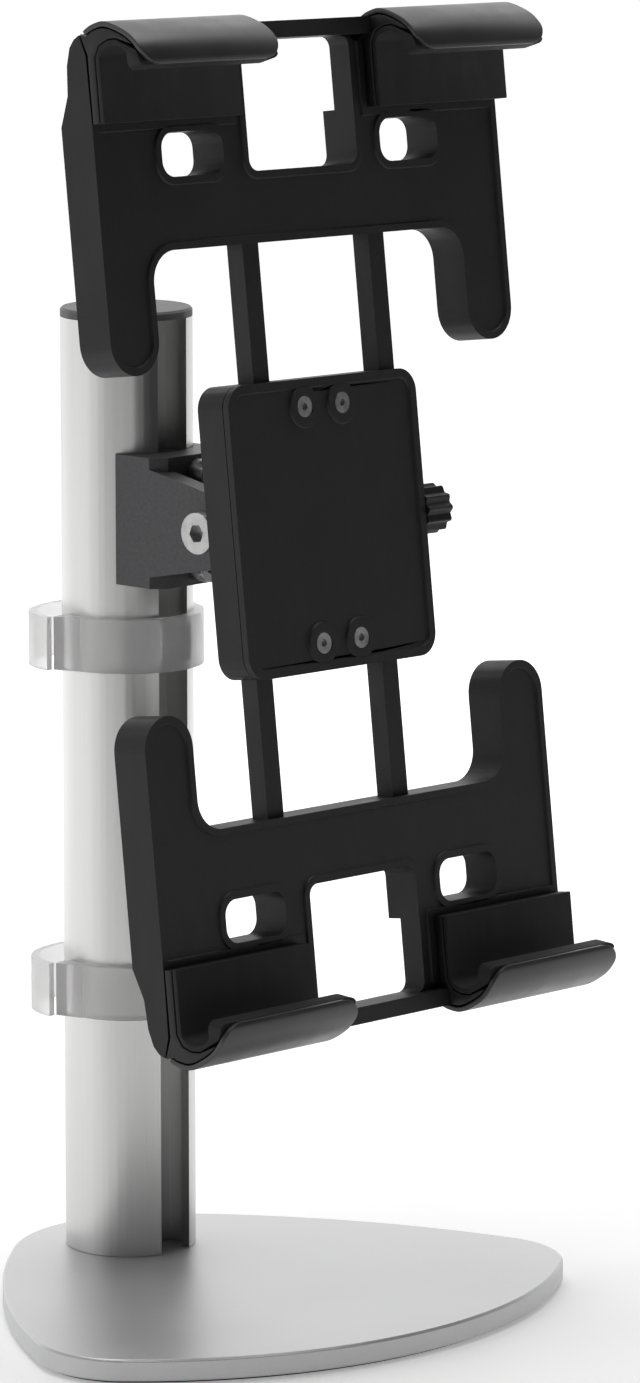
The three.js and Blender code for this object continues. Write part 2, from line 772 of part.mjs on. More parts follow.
function lidScrew([x, y]) {
  const top = frameFront - seat;
  const body = turned(
    [
      ...discs(smallScrewRadius, floorTop + past + seat),
      [smallScrewRadius, top - smallScrewHead + smallScrewRadius],
      [smallScrewHead, top - seat],
      [smallScrewHead, top],
      [0, top],
    ],
    20,
  );
  const socket = rodZ(smallScrewSocket, top - lidScrewSocketDepth, top + past, 6);
  return cut(solid(body), solid(socket)).translate([x, y, 0]);
}

part('hub_back', hubBack(), 'blackPlastic', cradleGroup);
part('hub_front', hubLidPlate(), 'blackPlastic', cradleGroup);
lidScrews.forEach((place, k) => part(`hub_screw_${k + 1}`, lidScrew(place), 'steel', cradleGroup));

// Thumb screw in the hub's side wall, pressing a nylon shoe on the upper half's guide rail.
function lockKnob() {
  const steps = lockKnobFlutes * 6;
  const points = Array.from({ length: steps }, (_, i) => {
    const angle = (2 * Math.PI * i) / steps;
    const r = lockKnobRadius - lockKnobFlute * (1 - Math.cos(lockKnobFlutes * angle));
    return [r * Math.cos(angle), r * Math.sin(angle)];
  });
  const face = hubHalfWidth + gap;
  const head = solid(alongX(outline(points), face, face + lockKnobLength));
  const stem = solid(rodX(lockScrewRadius, cavityHalf + lockScrewStep, face + past, 20));
  return joined(head, stem).translate([0, 0, lockHeight]);
}

function lockShoe() {
  const face = guideInner + railWidth + seat;
  return solid(rodX(lockScrewRadius, face, cavityHalf + lockScrewStep - 2 * seat, 20, 0, lockHeight));
}

part('lock_knob', lockKnob(), 'blackPlastic', cradleGroup);
part('lock_shoe', lockShoe(), 'nylon', cradleGroup);

// ---- rack and pinion -------------------------------------------------------------------------------

function pinion() {
  const slope = radians(pressureAngle);
  const base = pitchRadius * Math.cos(slope);
  const involute = (r) => Math.tan(Math.acos(base / r)) - Math.acos(base / r);
  const atPitch = (Math.PI * toothModule) / 2 - backlash / 2;
  const halfAngle = (r) => atPitch / 2 / pitchRadius + involute(pitchRadius) - involute(Math.max(r, base));
  const tip = pitchRadius + addendum;
  const radii = [pitchRadius - dedendum, base, (base + pitchRadius) / 2, pitchRadius, tip];
  const points = [];
  for (let k = 0; k < pinionTeeth; k += 1) {
    const middle = (2 * Math.PI * k) / pinionTeeth;
    const flank = radii.map((r) => [r, middle - halfAngle(r)]);
    const other = radii.toReversed().map((r) => [r, middle + halfAngle(r)]);
    points.push(...[...flank, ...other].map(([r, angle]) => [r * Math.cos(angle), r * Math.sin(angle)]));
  }
  const wheel = solid(alongZ(outline(points), railBack, railBack + pinionThickness));
  return cut(wheel, solid(rodZ(bossRadius + gap, backFace, frameFront, 36)));
}

// A bar with teeth towards the pinion at its lower end; it stands left of the middle.
function rackRail() {
  const pitch = Math.PI * toothModule;
  const slope = Math.tan(radians(pressureAngle));
  const half = pitch / 4 - backlash / 4;
  const face = -pitchRadius;
  const root = face - dedendum;
  const tip = face + addendum;
  const first = Math.ceil(railEnd / pitch);
  const last = Math.floor(rackTeethTop / pitch);
  const points = [[-rackBack, railEnd], [root, railEnd]];
  for (let k = first; k < last; k += 1) {
    const middle = (k + 0.5) * pitch;
    const wide = half + dedendum * slope;
    const narrow = half - addendum * slope;
    points.push([root, middle - wide], [tip, middle - narrow], [tip, middle + narrow], [root, middle + wide]);
  }
  points.push([root, barBottom + railSocket], [-rackBack, barBottom + railSocket]);
  return solid(alongZ(outline(points), railBack, railBack + railThickness));
}

const rackMiddle = -(rackBack - railWidth / 2);
const guideMiddle = guideInner + railWidth / 2;
const railScrewY = barBottom + railSocket / 2;
const railScrewTip = railBack + railThickness - 1;

function railBore(x) {
  return solid(rodZ(smallScrewRadius + gap, backFace - past, railScrewTip + gap, 16, x, railScrewY));
}

function guideRail() {
  const span = [guideInner, guideInner + railWidth];
  return solid(block(...span, railEnd, barBottom + railSocket, railBack, railBack + railThickness));
}

function railScrew(x) {
  const under = backFace - seat;
  const top = under - smallScrewHeadHeight;
  const head = solid(rodZ(smallScrewHead, top, under, 20, x, railScrewY));
  const shank = solid(rodZ(smallScrewRadius, under - seat, railScrewTip, 16, x, railScrewY));
  const socket = solid(
    rodZ(smallScrewSocket, top - past, top + railScrewSocketDepth, 6, x, railScrewY),
  );
  return cut(joined(head, shank), socket);
}

part('pinion', pinion(), 'nylon', cradleGroup);

// ---- half frames -----------------------------------------------------------------------------------

// Claw profile in (y, z): the outside from the seam at the back corner over the ridge to the lip.
const clawSeam = [edge + 5.4, rear - 6.6];
const clawOutside = [
  clawSeam,
  [edge + 6.3, rear - 5.2],
  [edge + 7.4, rear - 3],
  [edge + 8.1, rear - 0.2],
  [edge + 8.2, -7],
  [edge + 7.6, -4.4],
  [edge + 6.3, -1.3],
  [edge + 4.8, 1.4],
  [edge + 3, 3.5],
  [edge + 1.3, 4.9],
  [edge - 0.4, 5.8],
  [edge - 2.1, 6.3],
  [edge - 3.5, 6.3],
];
const seamFoot = [edge + 0.2, frameFront - gap];
const plateEnd = edge - 16.6; // where the half frame begins to thin towards the claws
const frameCorner = [
  [plateEnd, backFace],
  [edge - 9, backFace + 3.1],
  [edge - 1.7, backFace + 3.7],
  [edge + 2.6, backFace + 5.1],
  [edge + 4.5, backFace + 6.8],
  clawSeam,
  seamFoot,
  [plateEnd, frameFront],
];

// The lining's inner face: over the tablet's front edge, round its end and down its back.
const liningSeat = rear - gap / 2;
const liningInside = [
  [edge - clawReach, gap],
  [edge + 0.2, gap],
  [edge + 1.3, -1.2],
  [edge + 2.1, -3.4],
  [edge + 2, rear + 3],
  [edge + 1.1, rear + 0.9],
  [edge - 0.6, liningSeat],
  [clawFoot, liningSeat],
];

// Shifts an open polyline sideways, to its left for a positive distance.
function shifted(points, distance) {
  return points.map((point, i) => {
    const before = points[Math.max(i - 1, 0)];
    const after = points[Math.min(i + 1, points.length - 1)];
    const unit = (from, to) => {
      const length = Math.hypot(to[0] - from[0], to[1] - from[1]);
      return length === 0 ? null : [(to[0] - from[0]) / length, (to[1] - from[1]) / length];
    };
    const [back, on] = [unit(before, point), unit(point, after)];
    const first = back ?? on;
    const second = on ?? back;
    const [nx, ny] = [-(first[1] + second[1]) / 2, (first[0] + second[0]) / 2];
    const scale = distance / (nx * nx + ny * ny);
    return [point[0] + nx * scale, point[1] + ny * scale];
  });
}

// A claw's sides with the corners at the lip rounded, seen from the front.
function lipOutline(x0, x1, lip, corner) {
  const sides = roundedRect(x0, x1, lip, edge + clawFootReach, corner);
  return solid(alongZ(sides, backFace, frameDepth));
}

// The hard cover runs from the seam to the lip.
function clawCover(x0, x1) {
  const outer = clawOutside.slice(1);
  const inner = shifted(outer, coverThickness);
  const body = solid(alongX(outline([...outer, ...inner.toReversed()]), x0, x1));
  return body.intersect(lipOutline(x0, x1, outer.at(-1)[0], coverCorner));
}

// The rubber lining fills the lip under the cover, then lies on the hook.
function clawLining(x0, x1) {
  const underCover = shifted(clawOutside, coverThickness + gap).slice(-liningLipPoints);
  const onHook = shifted(liningInside, liningThickness).slice(liningLipPoints - 1);
  const outer = [...underCover.toReversed(), ...onHook];
  const body = solid(alongX(outline([...liningInside, ...outer.toReversed()]), x0, x1));
  const lip = roundedRect(x0, x1, edge - clawReach, edge + clawFootReach, liningCorner);
  const front = solid(alongZ(lip, rear / 2, frameDepth));
  const back = solid(block(x0, x1, 0, edge + clawFootReach, backFace, rear / 2));
  return body.intersect(front.add(back));
}

// The hook carries the cover behind the tablet's edge, and has a foot that lies on the half frame.
function clawHook(x0, x1) {
  const outside = shifted(clawOutside.slice(1, -liningLipPoints), coverThickness + gap);
  const inside = shifted(liningInside, liningThickness + gap).slice(liningLipPoints - 1);
  const foot = frameFront + gap;
  const profile = [
    [clawFoot, foot],
    [seamFoot[0], foot],
    [clawSeam[0] + gap, clawSeam[1] + gap],
    ...outside,
    ...inside,
  ];
  return solid(alongX(outline(profile), x0, x1));
}

function halfFrame() {
  const inner = frameHalf - legWidth;
  const legRadius = legWidth / 2;
  const plate = new THREE.Shape();
  plate.moveTo(-frameHalf, plateEnd);
  plate.lineTo(-frameHalf, legEnd + legRadius);
  plate.absarc(-frameHalf + legRadius, legEnd + legRadius, legRadius, Math.PI, 2 * Math.PI, false);
  plate.absarc(-inner + legFillet, barBottom - legFillet, legFillet, Math.PI, Math.PI / 2, true);
  plate.absarc(inner - legFillet, barBottom - legFillet, legFillet, Math.PI / 2, 0, true);
  plate.absarc(frameHalf - legRadius, legEnd + legRadius, legRadius, Math.PI, 2 * Math.PI, false);
  plate.lineTo(frameHalf, plateEnd);
  plate.closePath();
  const corner = outline(frameCorner);
  const barTop = edge + topBarRise;
  const barLow = barTop - topBarHeight;
  const barHalf = clawInner - gap;
  const barBack = frameFront - topBarBack;
  const barFront = barBack + topBarDepth;
  const bridge = roundedRect(-barHalf, barHalf, windowBottom - sideWindowFillet, barTop, past);
  const clawWindow = roundedRect(-windowHalf, windowHalf, windowBottom, barLow, windowFillet);
  const sideWindows = [-1, 1].map((side) => {
    const xs = [side * sideWindowInner, side * sideWindowOuter].sort((p, q) => p - q);
    const hole = roundedRect(...xs, windowBottom, clawFoot - windowFillet, sideWindowFillet);
    return solid(alongZ(hole, backFace - past, frameFront + past, 6));
  });
  const window = solid(alongZ(clawWindow, backFace - past, barFront + past, 6));
  const sockets = [rackMiddle, guideMiddle].map((middle) => {
    const half = railWidth / 2 + gap;
    const ys = [barBottom - past, barBottom + railSocket + gap];
    return solid(block(middle - half, middle + half, ...ys, railBack - gap, railBack + railThickness + gap));
  });
  const whole = joined(
    solid(alongZ(plate, backFace, frameFront, 10)),
    solid(alongX(corner, clawInner, frameHalf)),
    solid(alongX(corner, -frameHalf, -clawInner)),
    solid(alongZ(bridge, barBack, frameFront, 3)),
    solid(block(-barHalf, barHalf, barLow, barTop, frameFront - past, barFront)),
  );
  return cut(whole, window, ...sideWindows, ...sockets, railBore(rackMiddle), railBore(guideMiddle));
}

function addHalf(half, parent) {
  part(`${half}_frame`, halfFrame(), 'blackPlastic', parent);
  part(`${half}_rack`, cut(rackRail(), railBore(rackMiddle)), 'blackPlastic', parent);
  part(`${half}_guide`, cut(guideRail(), railBore(guideMiddle)), 'blackPlastic', parent);
  part(`${half}_rack_screw`, railScrew(rackMiddle), 'steel', parent);
  part(`${half}_guide_screw`, railScrew(guideMiddle), 'steel', parent);
  const sides = half === 'upper' ? { left: -1, right: 1 } : { left: 1, right: -1 };
  for (const [side, sign] of Object.entries(sides)) {
    const span = [sign * clawInner, sign * frameHalf].sort((p, q) => p - q);
    part(`${half}_${side}_claw`, clawHook(...span), 'blackPlastic', parent);
    part(`${half}_${side}_cover`, clawCover(...span), 'satinPlastic', parent);
    part(`${half}_${side}_lining`, clawLining(...span), 'rubber', parent);
  }
}

const upperGroup = new THREE.Group();
const lowerGroup = new THREE.Group();
lowerGroup.rotation.z = Math.PI;
cradleGroup.add(upperGroup, lowerGroup);
addHalf('upper', upperGroup);
addHalf('lower', lowerGroup);

export default group;
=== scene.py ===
import json
import math

import bpy
from mathutils import Matrix, Vector


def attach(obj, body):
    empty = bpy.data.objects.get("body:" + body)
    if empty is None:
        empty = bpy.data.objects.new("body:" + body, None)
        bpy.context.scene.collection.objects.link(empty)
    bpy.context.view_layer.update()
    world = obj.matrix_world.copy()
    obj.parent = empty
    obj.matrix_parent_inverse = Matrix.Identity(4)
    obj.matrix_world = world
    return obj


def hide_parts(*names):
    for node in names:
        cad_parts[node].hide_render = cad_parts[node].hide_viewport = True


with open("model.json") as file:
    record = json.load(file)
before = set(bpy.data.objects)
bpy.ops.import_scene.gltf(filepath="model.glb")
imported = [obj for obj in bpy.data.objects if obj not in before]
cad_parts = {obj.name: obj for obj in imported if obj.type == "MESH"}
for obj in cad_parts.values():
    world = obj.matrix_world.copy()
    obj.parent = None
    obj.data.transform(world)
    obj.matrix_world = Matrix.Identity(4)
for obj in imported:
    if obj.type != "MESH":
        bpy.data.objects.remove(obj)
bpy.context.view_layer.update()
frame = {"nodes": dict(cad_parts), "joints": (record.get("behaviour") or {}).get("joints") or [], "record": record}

# A desk stand for a tablet, in metres: the heavy plate, the slotted column with its cable clips,
# and the clamping cradle on its tilting, turning arm.

MM = 0.001
WELD = 0.002 * MM  # corners closer than this are one corner
FLAT = math.radians(0.5)  # faces that meet at less than this are one face
NODES = frame["nodes"]
JOINTS = {joint["name"]: joint for joint in frame["joints"]}


# ---- the cradle's own directions: x across, y up the back, z out of the front ----------------------

def cradle_frame():
    """The cradle's directions and middle, taken from the joints that turn and open it."""
    up = Vector(JOINTS["upper_slide"]["axis"])
    out = Vector(JOINTS["turn"]["axis"])
    across = up.cross(out)
    place = Matrix((across, up, out)).transposed().to_4x4()
    place.translation = Vector(JOINTS["turn"]["pos_m"])
    return place


CRADLE = cradle_frame()
HALVES = {"upper": CRADLE, "lower": CRADLE @ Matrix.Rotation(math.pi, 4, "Z")}


def span(node, place):
    """Lowest and highest corner of a CAD node in another frame."""
    back = place.inverted()
    corners = [back @ vertex.co for vertex in NODES[node].data.vertices]
    low = Vector([min(corner[axis] for corner in corners) for axis in range(3)])
    high = Vector([max(corner[axis] for corner in corners) for axis in range(3)])
    return low, high


# ---- materials -------------------------------------------------------------------------------------

class Shade:
    """A value in a material. Sums on it add Math nodes, and node() adds any other kind."""

    def __init__(self, tree, socket=None):
        self.tree = tree
        self.socket = socket

    def node(self, kind, settings=None, inputs=None, output=0):
        made = self.tree.nodes.new("ShaderNode" + kind)
        for key, value in (settings or {}).items():
            if key == "stops":
                ramp = made.color_ramp.elements
                for stop, (position, colour) in zip(ramp, value):
                    stop.position, stop.color = position, colour
            else:
                setattr(made, key, value)
        for key, value in (inputs or {}).items():
            if isinstance(value, Shade):
                self.tree.links.new(value.socket, made.inputs[key])
            else:
                made.inputs[key].default_value = value
        return Shade(self.tree, made.outputs[output])

    def maths(self, operation, first, second):
        return self.node("Math", {"operation": operation}, {0: first, 1: second})

    def __add__(self, other):
        return self.maths("ADD", self, other)

    def __sub__(self, other):
        return self.maths("SUBTRACT", self, other)

    def __rsub__(self, other):
        return self.maths("SUBTRACT", other, self)

    def __mul__(self, other):
        return self.maths("MULTIPLY", self, other)

    __radd__ = __add__
    __rmul__ = __mul__

    def grain(self, size, stretch=(1, 1, 1), detail=2.0, roughness=0.5):
        """Noise with grains of a size in metres, longer along an axis whose stretch is small."""
        place = self.node("TexCoord", output="Object")
        place = self.node("Mapping", inputs={"Vector": place, "Scale": stretch})
        settings = {"Vector": place, "Scale": 1 / size, "Detail": detail, "Roughness": roughness}
        return self.node("TexNoise", inputs=settings)

    def spread(self, low, high):
        """Stretches noise, which keeps to the middle of its range, over 0 to 1."""
        limits = {"Value": self, "From Min": low, "From Max": high}
        return self.node("MapRange", inputs=limits)

    def blend(self, first, second):
        """One colour where the value is 0 and another where it is 1."""
        return self.node(
            "Mix", {"data_type": "RGBA"}, {"Factor": self, "A": (*first, 1), "B": (*second, 1)}, "Result"
        )


def material(name, fixed):
    """A new material with its shader, and a Shade to build its patterns with."""
    made = bpy.data.materials.new(name)
    made.use_nodes = True
    shader = made.node_tree.nodes["Principled BSDF"]
    for key, value in fixed.items():
        shader.inputs[key].default_value = value
    return made, shader, Shade(made.node_tree)


def connect(shade, shader, colour=None, roughness=None, height=None, depth=0.0):
    """Joins patterns to the shader. Height is a bump, and depth is how far it rises, in metres."""
    links = shade.tree.links
    if colour is not None:
        links.new(colour.socket, shader.inputs["Base Color"])
    if roughness is not None:
        links.new(roughness.socket, shader.inputs["Roughness"])
    if height is not None:
        bump = shade.node("Bump", inputs={"Height": height, "Distance": depth, "Strength": 1.0})
        links.new(bump.socket, shader.inputs["Normal"])


def moulded(name, dark, light, gloss, grain_size, grain_depth, coat=0.0, shine=0.45):
    """Moulded plastic or rubber: a spark-eroded grain, cloudy colour and faint handling marks."""
    fixed = {"Coat Weight": coat, "Coat Roughness": 0.3, "Specular IOR Level": shine}
    made, shader, shade = material(name, fixed)
    grain = shade.grain(grain_size, detail=3.0, roughness=0.6).spread(0.3, 0.7)
    cloud = shade.grain(14 * MM, detail=3.0).spread(0.35, 0.65)
    smear = shade.grain(5 * MM, stretch=(1, 1, 0.35), detail=4.0).spread(0.45, 0.7)
    tone = (0.65 * grain + 0.35 * cloud).blend(dark, light)
    connect(shade, shader, tone, gloss + 0.06 * cloud - 0.05 * smear + 0.05 * grain, grain, grain_depth)
    return made


def silver_paint():
    """Metallic powder paint: fine flakes in a satin film that is slightly uneven."""
    fixed = {"Metallic": 0.62, "Coat Weight": 0.12, "Coat Roughness": 0.32}
    made, shader, shade = material("silver_paint", fixed)
    flakes = shade.grain(0.16 * MM, detail=1.0).spread(0.35, 0.75)
    ripple = shade.grain(1.3 * MM, detail=2.0).spread(0.3, 0.7)
    cloud = shade.grain(38 * MM, detail=3.0).spread(0.35, 0.65)
    tone = (0.6 * flakes + 0.4 * cloud).blend((0.56, 0.56, 0.57), (0.67, 0.67, 0.675))
    connect(shade, shader, tone, 0.36 + 0.06 * cloud + 0.05 * flakes, 0.3 * flakes + 0.7 * ripple, 0.006 * MM)
    return made


def anodised_aluminium():
    """Drawn and anodised: hair lines along the column, clouded by the bath."""
    made, shader, shade = material("anodised_aluminium", {"Metallic": 1.0})
    lines = shade.grain(0.22 * MM, stretch=(1, 1, 0.004), detail=3.0).spread(0.3, 0.7)
    etch = shade.grain(0.12 * MM, detail=1.0).spread(0.3, 0.7)
    bath = shade.grain(45 * MM, stretch=(1, 1, 0.5), detail=2.0).spread(0.35, 0.65)
    tone = (0.5 * lines + 0.2 * etch + 0.3 * bath).blend((0.64, 0.64, 0.635), (0.70, 0.70, 0.692))
    rough = 0.32 + 0.04 * lines + 0.04 * bath
    connect(shade, shader, tone, rough, 0.5 * lines + 0.5 * etch, 0.0012 * MM)
    return made


def clear_plastic():
    """Milky clear polypropylene: light passes through a slightly waxy skin."""
    fixed = {"Transmission Weight": 0.8, "IOR": 1.42, "Specular IOR Level": 0.4}
    made, shader, shade = material("clear_plastic", fixed)
    flow = shade.grain(9 * MM, stretch=(1, 1, 0.6), detail=3.0).spread(0.35, 0.65)
    skin = shade.grain(0.5 * MM, detail=2.0).spread(0.3, 0.7)
    tone = flow.blend((0.965, 0.955, 0.955), (0.99, 0.985, 0.985))
    connect(shade, shader, tone, 0.28 + 0.08 * flow, 0.5 * skin + 0.5 * flow, 0.006 * MM)
    return made


def cast_metal():
    """Die-cast zinc under dark satin powder paint with a fine orange peel."""
    fixed = {"Metallic": 0.35, "Coat Weight": 0.1, "Coat Roughness": 0.35}
    made, shader, shade = material("cast_metal", fixed)
    peel = shade.grain(0.9 * MM, detail=2.0).spread(0.3, 0.7)
    speck = shade.grain(0.2 * MM, detail=1.0).spread(0.4, 0.75)
    tone = (0.5 * peel + 0.5 * speck).blend((0.035, 0.035, 0.038), (0.075, 0.075, 0.08))
    connect(shade, shader, tone, 0.4 + 0.1 * peel, 0.8 * peel + 0.2 * speck, 0.02 * MM)
    return made


def zinc_steel():
    """Zinc-plated steel, cloudy, with fine marks from turning."""
    made, shader, shade = material("steel", {"Metallic": 1.0})
    cloud = shade.grain(3 * MM, detail=4.0).spread(0.35, 0.65)
    marks = shade.grain(0.15 * MM, stretch=(1, 0.15, 1), detail=2.0).spread(0.3, 0.7)
    tone = cloud.blend((0.36, 0.36, 0.38), (0.50, 0.495, 0.48))
    connect(shade, shader, tone, 0.24 + 0.12 * cloud + 0.05 * marks, marks, 0.004 * MM)
    return made


def natural_nylon():
    """Unfilled nylon: ivory, waxy and slightly uneven."""
    fixed = {"Subsurface Weight": 0.15, "Subsurface Scale": 0.5 * MM}
    made, shader, shade = material("nylon", fixed)
    cloud = shade.grain(4 * MM, detail=3.0).spread(0.35, 0.65)
    skin = shade.grain(0.3 * MM, detail=2.0).spread(0.3, 0.7)
    tone = cloud.blend((0.70, 0.67, 0.58), (0.80, 0.78, 0.71))
    connect(shade, shader, tone, 0.45 + 0.1 * cloud, skin, 0.01 * MM)
    return made


FINISHES = {
    "silver_paint": silver_paint(),
    "anodised_aluminium": anodised_aluminium(),
    "cap_plastic": moulded("cap_plastic", (0.06,) * 3, (0.10,) * 3, 0.45, 0.25 * MM, 0.012 * MM),
    "clear_plastic": clear_plastic(),
    "cast_metal": cast_metal(),
    "steel": zinc_steel(),
    "nylon": natural_nylon(),
    "black_plastic": moulded(
        "black_plastic", (0.006,) * 3, (0.013,) * 3, 0.46, 0.4 * MM, 0.02 * MM, shine=0.35
    ),
    "cover_plastic": moulded(
        "cover_plastic", (0.022,) * 3, (0.034,) * 3, 0.34, 0.2 * MM, 0.006 * MM, coat=0.15
    ),
    "rubber": moulded("rubber", (0.004,) * 3, (0.010,) * 3, 0.72, 0.5 * MM, 0.015 * MM),
}


def wear(piece, slot):
    """Gives a piece the finish of one of the record's material slots."""
    piece.data.materials.clear()
    piece.data.materials.append(FINISHES[slot])


# ---- modelling by hand -----------------------------------------------------------------------------

def begin(add, **where):
    """Adds a primitive with nothing else selected."""
    bpy.ops.object.select_all(action="DESELECT")
    add(**where)
    return bpy.context.object


def pick(piece, kind, wanted):
    """Selects the vertices, edges or faces of a piece whose middle passes a test, and no others."""
    bpy.ops.object.mode_set(mode="EDIT")
    bpy.ops.mesh.select_mode(type=kind)
    bpy.ops.mesh.select_all(action="DESELECT")
    bpy.ops.object.mode_set(mode="OBJECT")
    mesh = piece.data
    groups = {"VERT": mesh.vertices, "EDGE": mesh.edges, "FACE": mesh.polygons}[kind]
    for item in groups:
        if kind == "VERT":
            middle = item.co
        elif kind == "FACE":
            middle = item.center
        else:
            middle = sum((mesh.vertices[index].co for index in item.vertices), Vector()) / 2
        item.select = wanted(middle)
    bpy.ops.object.mode_set(mode="EDIT")


def modify(piece, kind, **settings):
    """Adds a modifier and applies it."""
    made = piece.modifiers.new(kind.lower(), kind)
    for key, value in settings.items():
        setattr(made, key, value)
    bpy.ops.object.modifier_apply(modifier=made.name)


def round_edges(piece, width, segments=3, angle=32):
    modify(
        piece, "BEVEL", width=width, segments=segments, limit_method="ANGLE", angle_limit=math.radians(angle)
    )


def complete(piece, name, body, slot, node, place=Matrix()):
    """Turns the faces out, puts the piece in its place, and lets it stand for its CAD node."""
    bpy.ops.object.mode_set(mode="EDIT")
    bpy.ops.mesh.select_all(action="SELECT")
    bpy.ops.mesh.remove_doubles(threshold=WELD)
    bpy.ops.mesh.normals_make_consistent(inside=False)
    bpy.ops.object.mode_set(mode="OBJECT")
    piece.name = piece.data.name = name
    piece.matrix_world = place @ piece.matrix_world
    bpy.ops.object.transform_apply(location=True, rotation=True, scale=True)
    bpy.ops.object.shade_smooth_by_angle(angle=math.radians(35))
    wear(piece, slot)
    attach(piece, body)
    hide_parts(node)
    return piece


def curve_through(points, steps):
    """A smooth line through points in (y, z)."""
    line = []
    for i in range(len(points) - 1):
        before, start = points[max(i - 1, 0)], points[i]
        end, after = points[i + 1], points[min(i + 2, len(points) - 1)]
        for k in range(steps):
            t = k / steps
            line.append(tuple(
                0.5 * (
                    2 * b + (c - a) * t + (2 * a - 5 * b + 4 * c - d) * t * t
                    + (3 * b - a - 3 * c + d) * t ** 3
                )
                for a, b, c, d in zip(before, start, end, after)
            ))
    return line + [tuple(points[-1])]


def shifted(points, distance):
    """The line moved sideways, to its left."""
    moved = []
    for i, point in enumerate(points):
        before, after = points[max(i - 1, 0)], points[min(i + 1, len(points) - 1)]
        along = (Vector(after) - Vector(before)).normalized()
        moved.append((point[0] - along[1] * distance, point[1] + along[0] * distance))
    return moved


def bar(outline, x0, x1):
    """A solid along X with an outline in (y, z): one corner pulled round it, filled and extruded."""
    piece = begin(bpy.ops.mesh.primitive_plane_add, size=MM, location=(x0, *outline[0]))
    bpy.ops.object.transform_apply(location=True)
    bpy.ops.object.mode_set(mode="EDIT")
    bpy.ops.mesh.select_mode(type="VERT")
    bpy.ops.mesh.select_all(action="SELECT")
    bpy.ops.mesh.merge(type="CENTER")
    for before, after in zip(outline, outline[1:]):
        step = (0, after[0] - before[0], after[1] - before[1])
        bpy.ops.mesh.extrude_region_move(TRANSFORM_OT_translate={"value": step})
    bpy.ops.mesh.select_all(action="SELECT")
    bpy.ops.mesh.edge_face_add()
    bpy.ops.mesh.extrude_region_move(TRANSFORM_OT_translate={"value": (x1 - x0, 0, 0)})
    bpy.ops.object.mode_set(mode="OBJECT")
    return piece


def strip(line, x0, x1, corner):
    """A sheet along X over a line in (y, z), its last two corners rounded by narrowing its last rows."""
    middle, half = (x0 + x1) / 2, (x1 - x0) / 2
    left = [sum(math.dist(p, q) for p, q in zip(line[i:], line[i + 1:])) for i in range(len(line))]

    def half_at(distance):
        if distance >= corner:
            return half
        return half - corner + math.sqrt(corner ** 2 - (corner - distance) ** 2)

    (ya, za), (yb, zb) = line[:2]
    piece = begin(
        bpy.ops.mesh.primitive_plane_add, size=1, location=(middle, (ya + yb) / 2, (za + zb) / 2),
        rotation=(math.atan2(zb - za, yb - ya), 0, 0),
    )
    piece.scale = (2 * half, math.dist(line[0], line[1]), 1)
    bpy.ops.object.transform_apply(location=True, rotation=True, scale=True)
    pick(piece, "EDGE", lambda at: (at - Vector((middle, yb, zb))).length < 0.001 * MM)
    for i in range(1, len(line) - 1):
        step = (0, line[i + 1][0] - line[i][0], line[i + 1][1] - line[i][1])
        bpy.ops.mesh.extrude_region_move(TRANSFORM_OT_translate={"value": step})
        ratio = half_at(left[i + 1]) / half_at(left[i])
        if ratio < 1:
            bpy.ops.transform.resize(value=(ratio, 1, 1), center_override=(middle, *line[i + 1]))
    bpy.ops.object.mode_set(mode="OBJECT")
    return piece


# ---- claws -----------------------------------------------------------------------------------------

EDGE = 120.6 * MM  # from the cradle's middle to the end of the tablet it is made for
PLAY = 0.3 * MM

COVER_LINE = [
    (EDGE + y * MM, z * MM)
    for y, z in (
        (6.3, -14), (7.4, -11.8), (8.1, -9), (8.2, -7), (7.6, -4.4), (6.3, -1.3), (4.8, 1.4), (3, 3.5),
        (1.3, 4.9), (-0.4, 5.8), (-2.1, 6.3), (-3.5, 6.3),
    )
]
COVER_THICKNESS = 1.3 * MM
COVER_CORNER = 6 * MM

LINING_LINE = [
    (EDGE + y * MM, z * MM)
    for y, z in (
        (-4.4, 0.3), (0.2, 0.3), (1.3, -1.2), (2.1, -3.4), (2, -5.8), (1.1, -7.9), (-0.6, -8.95),
        (-16.6, -8.95),
    )
]
LINING_THICKNESS = 1.4 * MM
LINING_CORNER = 2.5 * MM
LINING_LIP = 4  # points of the cover's line, from the lip, that only the lining backs

SEAM = (EDGE + 5.4 * MM, -15.4 * MM)
FRAME_FRONT = -13.3 * MM  # the half frames' front faces


def claw_cover(name, body, place, x0, x1):
    """The satin shell that runs over the back of the claw and down to its lip."""
    line = curve_through(COVER_LINE, 4)
    piece = strip(line, x0, x1, COVER_CORNER)
    bpy.ops.object.mode_set(mode="EDIT")
    bpy.ops.mesh.select_all(action="SELECT")
    bpy.ops.mesh.normals_make_consistent(inside=False)
    bpy.ops.object.mode_set(mode="OBJECT")
    facing = sum(p.normal.y for p in piece.data.polygons)
    modify(piece, "SOLIDIFY", thickness=COVER_THICKNESS, offset=-1 if facing > 0 else 1)
    round_edges(piece, 0.35 * MM)
    return complete(piece, name, body, "cover_plastic", name.replace("_shell", "_cover"), place)


